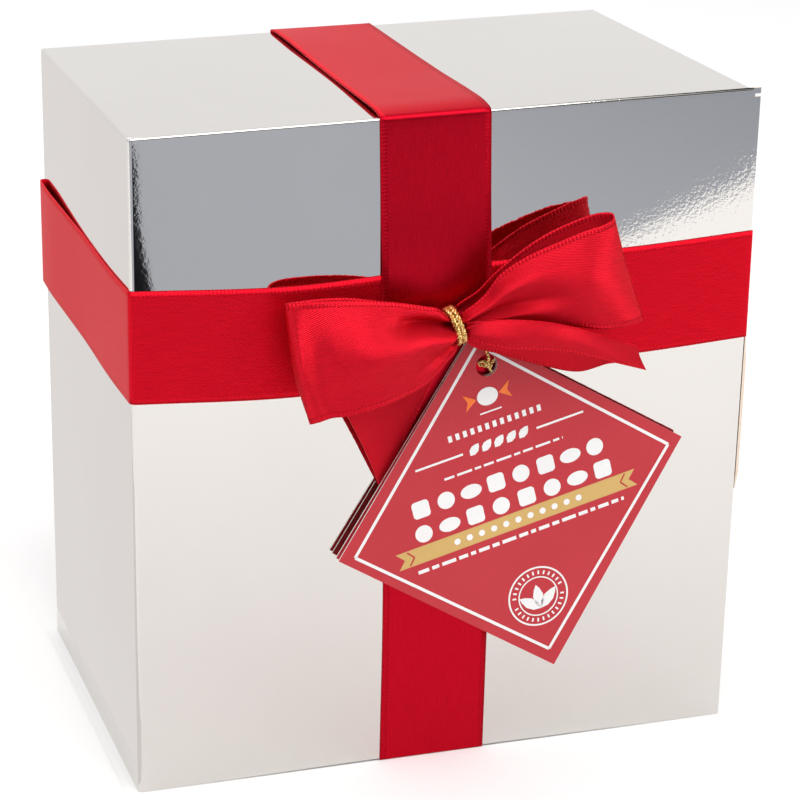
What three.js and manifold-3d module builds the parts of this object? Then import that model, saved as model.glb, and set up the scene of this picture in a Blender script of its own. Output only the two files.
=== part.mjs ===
// Square praline box in silver mirror board, tied with a red satin ribbon and a bow with a gift tag.
// Millimetres, +Z up. The front panel faces -Y. The box stands on z = 0.

import * as THREE from 'three';
import Module from 'manifold-3d';
import { mergeVertices } from 'three/addons/utils/BufferGeometryUtils.js';

const wasm = await Module();
wasm.setup();
const { Manifold, Mesh: SolidMesh } = wasm;

// Carton
const CARTON_W = 142;
const CARTON_D = 92.5;
const CARTON_H = 151.6;
const TOP_LEAN = 0.021;
const FOLD_CHAMFER = 0.7;
const SIDE_INSET_TOP = 1.1;
const LIP_OUT_TOP = 1.1;
const BOARD_T = 0.6;
const NOTCH_DROP = 1.3;
const NOTCH_H = 0.7;
const NOTCH_DEPTH = 1.4;

// Closing tab on the right side
const TAB_Z0 = 58;
const TAB_Z1 = 95;
const TAB_CHAMFER = 4;
const TAB_GAP = 0.4;
const TAB_BACK_Y = -33;

// Ribbon
const RIBBON_W = 25;
const RIBBON_T = 0.3;
const RIBBON_GAP = 0.1;
const BOW_T = 0.4;
const CROSS_Z = 106;
const BAND_Z_LEFT = 104.8;
const BAND_Z_RIGHT = 107.8;

// Knot and gold cord
const KNOT = { x: -0.87, d: 6.3, z: 106.05 };
const RING_SEMI_V = 3.9;
const RING_SEMI_D = 3.6;
const CORD_R = 0.65;
const STRAND_R = 0.38;

// How far a ribbon's turn over a fold reaches along each panel
const SOFT_TURN = 1.2;
const TIGHT_TURN = 0.3;

// Tag, a square card folded once
const LEAF_T = 0.35;
const HOLE_R = 2.5;

const FRONT_Y = -CARTON_D / 2;
const BACK_Y = CARTON_D / 2;
const HALF_W = CARTON_W / 2;

// The top leans a little, so every height grows with x.
function leanZ(x, z) {
  return z * (1 + (TOP_LEAN / CARTON_H) * x);
}

// A point given by x, its distance d in front of the front panel, and z.
function fromFront(x, d, z) {
  return new THREE.Vector3(x, FRONT_Y - d, z);
}

// Solids to manifold and back
function toSolid(geometry) {
  const plain = new THREE.BufferGeometry();
  plain.setAttribute('position', geometry.getAttribute('position').clone());
  if (geometry.index) plain.setIndex(geometry.index.clone());
  const merged = mergeVertices(plain, 1e-4);
  return new Manifold(new SolidMesh({
    numProp: 3,
    vertProperties: new Float32Array(merged.getAttribute('position').array),
    triVerts: new Uint32Array(merged.index.array),
  }));
}

function toGeometry(solid) {
  const mesh = solid.getMesh();
  const geometry = new THREE.BufferGeometry();
  geometry.setAttribute('position', new THREE.BufferAttribute(new Float32Array(mesh.vertProperties), 3));
  geometry.setIndex(new THREE.BufferAttribute(new Uint32Array(mesh.triVerts), 1));
  geometry.computeVertexNormals();
  return geometry;
}

function hullOf(points) {
  return Manifold.hull(points.map((p) => [p.x, p.y, p.z]));
}

// Carton: the body, the front panel's overhang, the closing tab and the ribbon's seat underneath
function sideX(z) {
  return HALF_W - SIDE_INSET_TOP * (z / CARTON_H);
}

function lipX(z) {
  return HALF_W + LIP_OUT_TOP * (z / CARTON_H);
}

function cartonBody() {
  const c = FOLD_CHAMFER;
  const points = [];
  for (const side of [-1, 1]) {
    for (const depth of [-1, 1]) {
      for (const level of [0, 1]) {
        const z = level * CARTON_H;
        const x = side < 0 ? -HALF_W : sideX(z);
        const y = depth * CARTON_D / 2;
        const inX = -side * c;
        const inY = -depth * c;
        const inZ = level ? -c : c;
        points.push(new THREE.Vector3(x + inX, y + inY, leanZ(x, z)));
        points.push(new THREE.Vector3(x + inX, y, leanZ(x, z + inZ)));
        points.push(new THREE.Vector3(x, y + inY, leanZ(x, z + inZ)));
      }
    }
  }
  return hullOf(points);
}

function frontOverhang() {
  const points = [];
  for (const z of [0, CARTON_H]) {
    for (const x of [HALF_W - 12, lipX(z)]) {
      points.push(new THREE.Vector3(x, FRONT_Y, leanZ(x, z)));
      points.push(new THREE.Vector3(x, FRONT_Y + BOARD_T, leanZ(x, z)));
    }
  }
  return hullOf(points);
}

function overhangNotch() {
  const top = leanZ(HALF_W, CARTON_H);
  const x1 = lipX(CARTON_H);
  const box = new THREE.BoxGeometry(NOTCH_DEPTH + 1, BOARD_T * 3, NOTCH_H);
  box.translate(x1 + (1 - NOTCH_DEPTH) / 2, FRONT_Y, top - NOTCH_DROP - NOTCH_H / 2);
  return toSolid(box);
}

function closingTab() {
  const points = [];
  const rows = [
    { z: TAB_Z0, out: 0.35 },
    { z: TAB_Z0 + TAB_CHAMFER, out: 1 },
    { z: TAB_Z1 - TAB_CHAMFER * 1.5, out: 1 },
    { z: TAB_Z1, out: 0.5 },
  ];
  for (const row of rows) {
    const x0 = lipX(row.z) - 0.1;
    const x1 = lipX(row.z) + (TAB_GAP + BOARD_T) * row.out;
    points.push(new THREE.Vector3(x0 + TAB_GAP, FRONT_Y + 0.15, row.z));
    points.push(new THREE.Vector3(x1, FRONT_Y + 0.15, row.z));
    points.push(new THREE.Vector3(sideX(row.z) - 0.5, TAB_BACK_Y, row.z));
    points.push(new THREE.Vector3(sideX(row.z) + 0.3, TAB_BACK_Y, row.z));
  }
  return hullOf(points);
}

function ribbonSeat() {
  const box = new THREE.BoxGeometry(RIBBON_W + 3, CARTON_D + 4, 1);
  box.translate(-1.8, 0, RIBBON_T + 0.15 - 0.5);
  return toSolid(box);
}

function cartonGeometry() {
  const overhang = frontOverhang().subtract(overhangNotch());
  const joined = cartonBody().add(overhang).add(closingTab());
  return toGeometry(joined.subtract(ribbonSeat()));
}

// A flat ribbon wound once round the box. Each station holds its left and right inner points and
// the two outward directions.
function bandGeometry(stations, thickness) {
  const count = stations.length;
  const positions = [];
  for (const s of stations) {
    for (const p of [s.left, s.right]) {
      positions.push(p.x, p.y, p.z);
    }
    for (const p of [s.right, s.left]) {
      const q = p.clone().addScaledVector(s.out, thickness);
      positions.push(q.x, q.y, q.z);
    }
  }
  const index = [];
  for (let i = 0; i < count; i += 1) {
    const a = i * 4;
    const b = ((i + 1) % count) * 4;
    for (let k = 0; k < 4; k += 1) {
      const k2 = (k + 1) % 4;
      index.push(a + k, a + k2, b + k2);
      index.push(a + k, b + k2, b + k);
    }
  }
  return orientedOutward(positions, index);
}

// Turns the faces round where the solid came out inside out.
function orientedOutward(positions, index) {
  let volume = 0;
  const p = (i) => new THREE.Vector3(positions[i * 3], positions[i * 3 + 1], positions[i * 3 + 2]);
  for (let i = 0; i < index.length; i += 3) {
    volume += p(index[i]).dot(p(index[i + 1]).cross(p(index[i + 2])));
  }
  if (volume < 0) {
    for (let i = 0; i < index.length; i += 3) {
      [index[i + 1], index[i + 2]] = [index[i + 2], index[i + 1]];
    }
  }
  const geometry = new THREE.BufferGeometry();
  geometry.setAttribute('position', new THREE.Float32BufferAttribute(positions, 3));
  geometry.setIndex(index);
  geometry.computeVertexNormals();
  return geometry;
}

// Runs round a closed outline and gives each point with its outward direction. A corner holds how
// far its turn reaches, and is rounded with four points.
function windingPoints(outline) {
  const found = [];
  const count = outline.length;
  let area = 0;
  outline.forEach((p, i) => {
    const q = outline[(i + 1) % count];
    area += p.a * q.b - q.a * p.b;
  });
  const turn = Math.sign(area);
  for (let i = 0; i < count; i += 1) {
    const prev = outline[(i + count - 1) % count];
    const here = outline[i];
    const next = outline[(i + 1) % count];
    const inDir = new THREE.Vector2(here.a - prev.a, here.b - prev.b).normalize();
    const outDir = new THREE.Vector2(next.a - here.a, next.b - here.b).normalize();
    const nIn = new THREE.Vector2(inDir.y * turn, -inDir.x * turn);
    const nOut = new THREE.Vector2(outDir.y * turn, -outDir.x * turn);
    if (here.corner) {
      for (let k = 0; k <= 3; k += 1) {
        const t = k / 3;
        const before = (1 - t) ** 2 * here.corner;
        const after = t ** 2 * here.corner;
        found.push({
          a: here.a - inDir.x * before + outDir.x * after,
          b: here.b - inDir.y * before + outDir.y * after,
          n: nIn.clone().multiplyScalar(1 - t).addScaledVector(nOut, t).normalize(),
          here,
        });
      }
    } else {
      found.push({ a: here.a, b: here.b, n: nIn.clone().add(nOut).normalize(), here });
    }
  }
  return found;
}

// Lengthwise ribbon: up the front, over the top, down the back and under the bottom.
// Values per point: y, z, centre x, and how far the left and right edges stand off.
function verticalRibbon() {
  const g = RIBBON_GAP;
  const f = FRONT_Y - g;
  const b = BACK_Y + g;
  const t = CARTON_H + g;
  const lift = RIBBON_T + 0.1;
  const outline = [
    { a: f, b: 0.02, x: -1.8, corner: TIGHT_TURN },
    { a: f, b: 40, x: -1.6 },
    { a: f, b: 80, x: -2.4 },
    { a: f - lift, b: 90, x: -2.7 },
    { a: f - lift, b: 119.5, x: -3.2 },
    { a: f, b: 132, x: -3.5 },
    { a: f, b: t, x: -4.0, corner: SOFT_TURN },
    { a: -41.5, b: t + 0.9, x: -3.9, up: 0.1 },
    { a: -32, b: t + 1.1, x: -3.6, up: 0.2 },
    { a: -10, b: t + 0.8, x: -3.0, up: 0.6 },
    { a: 10, b: t + 0.5, x: -2.6, up: 1.0 },
    { a: 30, b: t + 0.4, x: -2.2, up: 1.0 },
    { a: 40, b: t + 0.3, x: -2.0, up: 0.6 },
    { a: b + 0.3, b: t + 0.1, x: -2.0, up: 0.2, corner: SOFT_TURN },
    { a: b + 0.6, b: 140, x: -2.0 },
    { a: b + lift, b: 122.5, x: -2.0 },
    { a: b + lift, b: 90, x: -1.9 },
    { a: b, b: 84, x: -1.9 },
    { a: b, b: 0.02, x: -1.8, corner: TIGHT_TURN },
  ];
  const stations = windingPoints(outline).map((s) => {
    const out = new THREE.Vector3(0, s.n.x, s.n.y);
    const edge = (side) => {
      const x = s.here.x + side * RIBBON_W / 2;
      const z = s.b > 1 ? leanZ(x, s.b) : s.b;
      const p = new THREE.Vector3(x, s.a, z);
      const up = side < 0 ? (s.here.up || 0) : (s.here.up || 0) * 0.15;
      return p.addScaledVector(new THREE.Vector3(0, 0, 1), up);
    };
    return { left: edge(-1), right: edge(1), out };
  });
  for (const s of stations) {
    for (const p of [s.left, s.right]) {
      if (p.z < 1) p.z = Math.max(p.z, RIBBON_T);
    }
  }
  return bandGeometry(stations, RIBBON_T);
}

// Crosswise ribbon: along the front, the right side, the back and the left side.
function horizontalRibbon() {
  const g = RIBBON_GAP;
  const l = -HALF_W - g;
  const f = FRONT_Y - g;
  const b = BACK_Y + g;
  const r = lipX(CROSS_Z + RIBBON_W / 2) + g;
  const outline = [
    { a: l, b: f, z: BAND_Z_LEFT, corner: SOFT_TURN },
    { a: -35, b: f, z: 103.2 },
    { a: 0, b: f, z: 105.0 },
    { a: 45, b: f, z: 106.2 },
    { a: r, b: f, z: BAND_Z_RIGHT, corner: TIGHT_TURN },
    { a: r - 0.3, b: 0, z: 107.6 },
    { a: r - 0.9, b: b, z: 107.3, corner: TIGHT_TURN },
    { a: 20, b: b, z: 106.6 },
    { a: -40, b: b, z: 106.2 },
    { a: -HALF_W + 4, b: b + 0.4, z: 105.8 },
    { a: -HALF_W - 0.9, b: b - 0.1, z: 105.7, corner: SOFT_TURN },
    { a: -HALF_W - 1.0, b: 36, z: 105.4 },
    { a: -HALF_W - 0.6, b: 20, z: 105.0 },
    { a: l, b: 0, z: 104.6 },
    { a: l, b: -25, z: 104.2 },
  ];
  const stations = windingPoints(outline).map((s) => {
    const out = new THREE.Vector3(s.n.x, s.n.y, 0);
    const low = new THREE.Vector3(s.a, s.b, s.here.z - RIBBON_W / 2);
    const high = new THREE.Vector3(s.a, s.b, s.here.z + RIBBON_W / 2);
    return { left: low, right: high, out };
  });
  return bandGeometry(stations, RIBBON_T);
}

// A ribbon length laid through several guide lines, side by side from one edge to the other.
function ribbonSheet(lines, alongCount, acrossCount, thickness) {
  const curves = lines.map((line) => new THREE.CatmullRomCurve3(
    line.map((p) => fromFront(p[0], p[1], p[2])), false, 'centripetal'));
  const grid = [];
  for (let i = 0; i <= alongCount; i += 1) {
    const across = new THREE.CatmullRomCurve3(
      curves.map((c) => c.getPointAt(i / alongCount)), false, 'centripetal');
    const row = [];
    for (let j = 0; j <= acrossCount; j += 1) {
      row.push(across.getPoint(j / acrossCount));
    }
    grid.push(row);
  }
  return thickSheet(grid, thickness);
}

function thickSheet(grid, thickness) {
  const n = grid.length;
  const m = grid[0].length;
  const positions = [];
  const normalAt = (i, j) => {
    const du = grid[Math.min(i + 1, n - 1)][j].clone().sub(grid[Math.max(i - 1, 0)][j]);
    const dv = grid[i][Math.min(j + 1, m - 1)].clone().sub(grid[i][Math.max(j - 1, 0)]);
    return du.cross(dv).normalize();
  };
  for (const sign of [1, -1]) {
    for (let i = 0; i < n; i += 1) {
      for (let j = 0; j < m; j += 1) {
        const q = grid[i][j].clone().addScaledVector(normalAt(i, j), sign * thickness / 2);
        positions.push(q.x, q.y, q.z);
      }
    }
  }
  const at = (s, i, j) => s * n * m + i * m + j;
  const index = [];
  const quad = (a, b, c, d) => index.push(a, b, c, a, c, d);
  for (let i = 0; i < n - 1; i += 1) {
    for (let j = 0; j < m - 1; j += 1) {
      quad(at(0, i, j), at(0, i + 1, j), at(0, i + 1, j + 1), at(0, i, j + 1));
      quad(at(1, i, j), at(1, i, j + 1), at(1, i + 1, j + 1), at(1, i + 1, j));
    }
  }
  for (let i = 0; i < n - 1; i += 1) {
    quad(at(0, i, 0), at(1, i, 0), at(1, i + 1, 0), at(0, i + 1, 0));
    quad(at(0, i, m - 1), at(0, i + 1, m - 1), at(1, i + 1, m - 1), at(1, i, m - 1));
  }
  for (let j = 0; j < m - 1; j += 1) {
    quad(at(0, 0, j), at(0, 0, j + 1), at(1, 0, j + 1), at(1, 0, j));
    quad(at(0, n - 1, j), at(1, n - 1, j), at(1, n - 1, j + 1), at(0, n - 1, j + 1));
  }
  return orientedOutward(positions, index);
}

// The knot leans; u runs along the ribbon, v up the knot.
const KNOT_V = new THREE.Vector2(-0.32, 0.947);
const KNOT_U = new THREE.Vector2(0.947, 0.32);

function knotPoint(u, v, dd) {
  return [
    KNOT.x + KNOT_U.x * u + KNOT_V.x * v,
    KNOT.d + dd,
    KNOT.z + KNOT_U.y * u + KNOT_V.y * v,
  ];
}

// Bow: two loops and two tails of one ribbon, pinched in the middle
function leftLoop() {
  const top = [
    knotPoint(0, 2.5, -1.1), knotPoint(-1.0, 2.6, -1.1), knotPoint(-1.8, 4.2, -0.6), [-12, 3.6, 110.8],
    [-25, 3.0, 113.2], [-36.5, 4.2, 113.6], [-39.1, 6.5, 114.0], [-36.4, 8.5, 114.6], [-27.8, 9.3, 114.7],
    [-18.8, 9.6, 113.9], [-14.3, 9.4, 113.1], [-9.2, 9.2, 111.9], [-5.8, 8.9, 111.0],
    knotPoint(-1.8, 4.3, 2.0), knotPoint(-1.0, 2.6, 1.1), knotPoint(0, 2.5, 1.1),
  ];
  const middle = [
    knotPoint(0, 0, -1.6), knotPoint(-1.0, 0, -1.8), knotPoint(-1.9, 0, -2.8), [-12, 4.6, 104.0],
    [-25, 5.4, 102.0], [-35.5, 7.4, 101.0], [-38.3, 10.0, 100.8], [-37.2, 12.9, 101.3], [-34.4, 12.6, 101.9],
    [-29.3, 14.0, 102.8], [-19.6, 15.0, 104.4], [-9.6, 11.8, 105.7], knotPoint(-3.4, 0.3, 4.6),
    knotPoint(-1.9, 0.1, 3.6), knotPoint(-1.0, 0, 2.0), knotPoint(0, 0, 1.9),
  ];
  const bottom = [
    knotPoint(0, -2.4, -1.1), knotPoint(-1.0, -2.5, -1.1), knotPoint(-1.8, -4.2, -0.8), [-12, 6.6, 97.0],
    [-24, 8.4, 90.6], [-32.8, 9.8, 88.2], [-34.9, 11.7, 88.4], [-33.2, 13.2, 89.3], [-30.4, 12.9, 89.8],
    [-26.8, 13.8, 90.4], [-18.9, 13.4, 92.1], [-9.5, 10.6, 94.9], [-7.0, 10.0, 96.4], [-3.9, 9.2, 98.9],
    knotPoint(-1.8, -4.4, 2.2), knotPoint(-1.0, -2.5, 1.1), knotPoint(0, -2.4, 1.1),
  ];
  return ribbonSheet([top, middle, bottom], 52, 8, BOW_T);
}

function rightLoop() {
  const top = [
    knotPoint(0, 2.5, -1.0), knotPoint(1.0, 2.6, -1.0), knotPoint(1.8, 4.0, -0.2), [4.3, 6.0, 113.3],
    [8.2, 5.3, 116.6], [17.9, 5.0, 123.4], [26.7, 5.2, 127.2], [32.2, 6.0, 128.8], [34.5, 7.5, 128.9],
    [34.3, 8.7, 128.0], [32.2, 9.7, 127.3], [26.7, 10.4, 126.2], [20.8, 10.6, 124.3], [13.5, 10.5, 121.5],
    [7.4, 10.1, 117.5], [4.7, 9.7, 113.6], knotPoint(2.0, 3.3, 3.0), knotPoint(1.0, 2.3, 1.4),
    knotPoint(0, 2.2, 1.3),
  ];
  const middle = [
    knotPoint(0, 0, -1.6), knotPoint(1.0, 0, -1.8), knotPoint(2.0, 0.2, -2.8), [10, 5.2, 110.8],
    [18, 5.8, 113.2], [28, 6.4, 115.6], [35.6, 8.6, 118.2], [37.8, 11.2, 117.5], [33.7, 13.6, 116.6],
    [25.6, 14.6, 115.2], [16.6, 14.0, 113.8], [8.5, 11.6, 110.9], knotPoint(2.0, 1.2, 3.9),
    knotPoint(1.0, 0.4, 2.1), knotPoint(0, 0.4, 1.9),
  ];
  const bottom = [
    knotPoint(0, -1.6, -1.3), knotPoint(1.0, -1.6, -1.3), knotPoint(2.2, -1.2, -1.6), [11, 6.6, 107.0],
    [20, 7.4, 105.6], [30, 8.6, 104.8], [38.8, 9.8, 105.2], [42.0, 12.0, 105.0], [37.4, 13.2, 104.5],
    [31.5, 11.4, 104.2], [22.1, 9.6, 105.8], [11.3, 8.8, 107.0], knotPoint(2.2, -0.6, 2.2),
    knotPoint(1.0, -1.5, 0.9), knotPoint(0, -1.5, 0.9),
  ];
  return ribbonSheet([top, middle, bottom], 52, 8, BOW_T);
}

function rightTail() {
  const front = [knotPoint(0, -2.3, 0.8), knotPoint(1.0, -2.4, 1.0), [2.1, 8.9, 103.4], [8.5, 11.5, 101.6],
    [19.5, 12.6, 100.5], [26.1, 12.6, 99.1], [33.1, 12.0, 96.7], [43.0, 10.5, 93.2]];
  const frontMid = [knotPoint(0, -1.3, 1.5), knotPoint(1.0, -1.4, 1.6), [2.2, 9.8, 105.3], [8.7, 12.6, 104.7],
    [18.2, 13.8, 104.1], [25.6, 13.6, 102.4], [32.1, 12.8, 99.8], [41.2, 11.0, 96.3]];
  const crease = [knotPoint(0, -0.2, 1.9), knotPoint(1.0, 0, 2.1), knotPoint(2.2, 1.0, 3.6), [4.0, 10.6, 107.8],
    [9.7, 12.2, 108.1], [17.4, 13.2, 107.3], [25.6, 13.2, 105.1], [31.7, 12.4, 102.5], [39.9, 10.8, 99.2]];
  const rearMid = [knotPoint(0, -1.4, -0.4), knotPoint(1.0, -1.5, -0.4), [2.9, 6.0, 103.2], [8.9, 8.8, 103.4],
    [18.0, 10.2, 102.0], [27.4, 9.8, 99.4], [32.1, 9.9, 98.6], [38.5, 9.6, 97.0]];
  const rear = [knotPoint(0, -2.4, -0.9), knotPoint(1.0, -2.5, -1.0), [3.6, 5.0, 100.6], [9.2, 5.4, 98.6],
    [19.1, 5.8, 95.2], [28.6, 6.4, 92.9], [34.8, 8.0, 94.7], [37.6, 8.6, 94.9]];
  return ribbonSheet([front, frontMid, crease, rearMid, rear], 30, 10, BOW_T);
}

function leftTail() {
  const upper = [knotPoint(0, -1.2, -1.7), knotPoint(-1.0, -1.3, -1.8), [-7.0, 4.0, 100.6], [-15.5, 4.0, 95.6],
    [-25.9, 6.2, 89.2]];
  const middle = [knotPoint(0, -1.9, -1.6), knotPoint(-1.0, -2.0, -1.7), [-6.2, 3.4, 96.6], [-12.6, 3.2, 89.4],
    [-21.3, 4.8, 80.4]];
  const lowMid = [knotPoint(0, -2.2, -1.4), knotPoint(-1.0, -2.3, -1.5), [-5.0, 2.8, 94.4], [-11.2, 1.9, 83.4],
    [-17.8, 3.0, 73.0]];
  const lower = [knotPoint(0, -2.4, -1.2), knotPoint(-1.0, -2.5, -1.3), [-4.2, 2.0, 92.0], [-9.4, 0.75, 79.6],
    [-15.6, 0.75, 67.9]];
  return ribbonSheet([upper, middle, lowMid, lower], 24, 9, BOW_T);
}

function knotCore() {
  const ball = new THREE.SphereGeometry(1, 20, 14);
  ball.scale(2.3, 2.7, 3.15);
  ball.rotateY(-Math.atan2(0.32, 0.947));
  const c = fromFront(KNOT.x, KNOT.d, KNOT.z);
  ball.translate(c.x, c.y, c.z);
  return toSolid(ball);
}

// Where folds of the ribbon meet they may shut in a small hollow, which is filled.
function withoutHollows(solid) {
  const shells = solid.decompose().filter((shell) => shell.volume() > 0);
  return shells.reduce((a, b) => a.add(b));
}

function bowGeometry() {
  let solid = knotCore();
  for (const piece of [leftLoop(), rightLoop(), rightTail(), leftTail()]) {
    solid = solid.add(toSolid(piece));
  }
  return toGeometry(withoutHollows(solid));
}

// Gold cord: two turns round the knot and one strand down through the tag's hole
function ringCurve(shift) {
  const points = [];
  for (let i = 0; i < 24; i += 1) {
    const a = (i / 24) * Math.PI * 2;
    const p = knotPoint(shift, RING_SEMI_V * Math.cos(a), RING_SEMI_D * Math.sin(a));
    points.push(fromFront(p[0], p[1], p[2]));
  }
  return new THREE.CatmullRomCurve3(points, true, 'catmullrom');
}

function cordTube(curve, steps, closed) {
  if (closed) return new THREE.TubeGeometry(curve, steps, CORD_R, 8, true);
  const shape = new THREE.Shape();
  shape.absarc(0, 0, STRAND_R, 0, Math.PI * 2);
  return new THREE.ExtrudeGeometry(shape, { steps, extrudePath: curve, curveSegments: 4 });
}

function cordGeometry() {
  const start = knotPoint(0.72, -RING_SEMI_V * 0.8, -RING_SEMI_D * 0.6);
  const strand = [
    start, [3.4, 3.4, 101.4], [5.7, 3.3, 100.2], [7.7, 3.5, 98.5], [8.2, 3.6, 96.8], [8.3, 2.6, 95.1],
  ].map((p) => fromFront(p[0], p[1], p[2]));
  const knot = new THREE.SphereGeometry(1.1, 10, 8);
  knot.scale(1.2, 0.8, 1.1);
  const k = fromFront(8.4, 2.5, 94.7);
  knot.translate(k.x, k.y, k.z);
  let solid = toSolid(cordTube(ringCurve(-0.6), 40, true));
  solid = solid.add(toSolid(cordTube(ringCurve(0.6), 40, true)));
  solid = solid.add(toSolid(cordTube(new THREE.CatmullRomCurve3(strand), 18, false)));
  solid = solid.add(toSolid(knot));
  return toGeometry(solid);
}

// Tag: corners of the front leaf and of the back leaf, which opens a little at the lower left edge
const TAG_TOP = { x: 5.1, z: 102.8, front: 2.15, rear: 1.25 };
const TAG_LEFT = { x: -25.8, z: 52.4, front: 3.6, rear: 1.3 };
const TAG_BOTTOM = { x: 26.4, z: 20.7, front: 4.0, rear: 1.5 };
const TAG_RIGHT = { x: 56.2, z: 73.3, front: 2.6, rear: 1.6 };
const TAG_HOLE = { x: 8.3, z: 94.7 };
const SPINE_W = 0.8;

function tagCorner(c, depth) {
  return fromFront(c.x, depth, c.z);
}

function leaf(depthOf, thickness) {
  const corners = [TAG_TOP, TAG_RIGHT, TAG_BOTTOM, TAG_LEFT];
  const points = [];
  for (const c of corners) {
    points.push(tagCorner(c, depthOf(c)));
    points.push(tagCorner(c, depthOf(c) - thickness));
  }
  return hullOf(points);
}

function spine() {
  const along = new THREE.Vector2(TAG_LEFT.x - TAG_TOP.x, TAG_LEFT.z - TAG_TOP.z).normalize();
  const points = [];
  for (const c of [TAG_TOP, TAG_RIGHT]) {
    for (const step of [0, SPINE_W]) {
      const x = c.x + along.x * step;
      const z = c.z + along.y * step;
      points.push(fromFront(x, c.front - 0.02, z));
      points.push(fromFront(x, c.rear + 0.02, z));
    }
  }
  return hullOf(points);
}

function tagGeometry() {
  const punch = new THREE.CylinderGeometry(HOLE_R, HOLE_R, 12, 24);
  punch.translate(TAG_HOLE.x, FRONT_Y - 2, TAG_HOLE.z);
  const front = leaf((c) => c.front, LEAF_T);
  const rear = leaf((c) => c.rear + LEAF_T, LEAF_T);
  return toGeometry(front.add(rear).add(spine()).subtract(toSolid(punch)));
}

// Parts
const mirrorBoard = { color: 0xdedbd6, roughness: 0.12, metalness: 1.0 };
const satin = { color: 0xc8101f, roughness: 0.42, metalness: 0.0 };
const goldCord = { color: 0xc99a3f, roughness: 0.35, metalness: 0.9 };
const printedCard = { color: 0xc53c44, roughness: 0.55, metalness: 0.0 };

const box = new THREE.Group();
box.name = 'praline_box';

function addPart(name, geometry, look) {
  const mesh = new THREE.Mesh(geometry, new THREE.MeshStandardMaterial(look));
  mesh.name = name;
  box.add(mesh);
}

addPart('carton', cartonGeometry(), mirrorBoard);
addPart('ribbon_vertical', verticalRibbon(), satin);
addPart('ribbon_horizontal', horizontalRibbon(), satin);
addPart('bow', bowGeometry(), satin);
addPart('gold_cord', cordGeometry(), goldCord);
addPart('tag', tagGeometry(), printedCard);

export default box;
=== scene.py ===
"""A shut gift carton in mirror-silver board, tied with red satin ribbon, a bow, gold cord and a tag."""

import math

import bmesh
import bpy
from mathutils import Matrix, Vector


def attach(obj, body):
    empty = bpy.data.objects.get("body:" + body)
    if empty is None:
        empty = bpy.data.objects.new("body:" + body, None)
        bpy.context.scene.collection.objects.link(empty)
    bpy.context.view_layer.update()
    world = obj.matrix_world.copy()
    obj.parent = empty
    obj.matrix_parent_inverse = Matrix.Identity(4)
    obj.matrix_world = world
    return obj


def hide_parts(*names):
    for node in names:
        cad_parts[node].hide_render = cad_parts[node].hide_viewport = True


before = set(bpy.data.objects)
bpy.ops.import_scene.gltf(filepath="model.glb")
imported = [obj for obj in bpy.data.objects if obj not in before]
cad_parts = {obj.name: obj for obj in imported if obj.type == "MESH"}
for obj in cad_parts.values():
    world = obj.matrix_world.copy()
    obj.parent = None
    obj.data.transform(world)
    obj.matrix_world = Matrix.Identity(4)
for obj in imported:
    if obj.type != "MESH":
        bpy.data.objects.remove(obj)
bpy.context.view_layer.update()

MM = 0.001

# Carton, in millimetres, as the frame has it
CARTON_W = 142.0
CARTON_D = 92.5
CARTON_H = 151.6
TOP_LEAN = 0.021
SIDE_INSET_TOP = 1.1
LIP_OUT_TOP = 1.1
BOARD_T = 0.6
FOLD_R = 0.58
CORNER_R = 1.0
NOTCH_DROP = 1.3
NOTCH_H = 0.7
NOTCH_DEPTH = 1.4
TAB_Z0 = 58.0
TAB_Z1 = 95.0
TAB_CHAMFER = 4.0
TAB_GAP = 0.4
TAB_BACK_Y = -33.0
SEAT_H = 0.42

# Ribbon
RIBBON_W = 25.0
RIBBON_T = 0.3
RIBBON_GAP = 0.1
BOW_T = 0.36
THREAD_PITCH = 0.42
RIB_PITCH = 0.85

# The weave's selvedge, its seam and the twill's lean, in ribbon widths
SELVEDGE = 1.2 / RIBBON_W
SEAM_HALF_W = 0.006
TWILL_LEAN = 0.36

# Knot and cord
KNOT = (-0.87, 6.3, 106.05)
RING_SEMI_V = 3.9
RING_SEMI_D = 3.6

# Tag corners: x, z, and how far the front and rear leaves stand off the front panel
TAG_TOP = (5.1, 102.8, 2.15, 1.25)
TAG_LEFT = (-25.8, 52.4, 3.6, 1.3)
TAG_BOTTOM = (26.4, 20.7, 4.0, 1.5)
TAG_RIGHT = (56.2, 73.3, 2.6, 1.6)
TAG_HOLE = (8.3, 94.7)
HOLE_R = 2.5
LEAF_T = 0.35
INK_T = 0.03

FRONT_Y = -CARTON_D / 2
BACK_Y = CARTON_D / 2
HALF_W = CARTON_W / 2


def lean_z(x, z):
    """The top leans a little, so every height grows with x."""
    return z * (1 + TOP_LEAN / CARTON_H * x)


def side_x(z):
    return HALF_W - SIDE_INSET_TOP * z / CARTON_H


def lip_x(z):
    return HALF_W + LIP_OUT_TOP * z / CARTON_H


def from_front(x, d, z):
    """A point at x and z that stands d in front of the front panel."""
    return Vector((x, FRONT_Y - d, z))


# Camera

CAMERA_AT = Vector((-0.18626, -0.56666, 0.28112))
CAMERA_AZIMUTH = math.radians(-18.62)
CAMERA_ELEVATION = math.radians(19.406)
CAMERA_ROLL = math.radians(1.012)
LENS = 119.17


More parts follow.
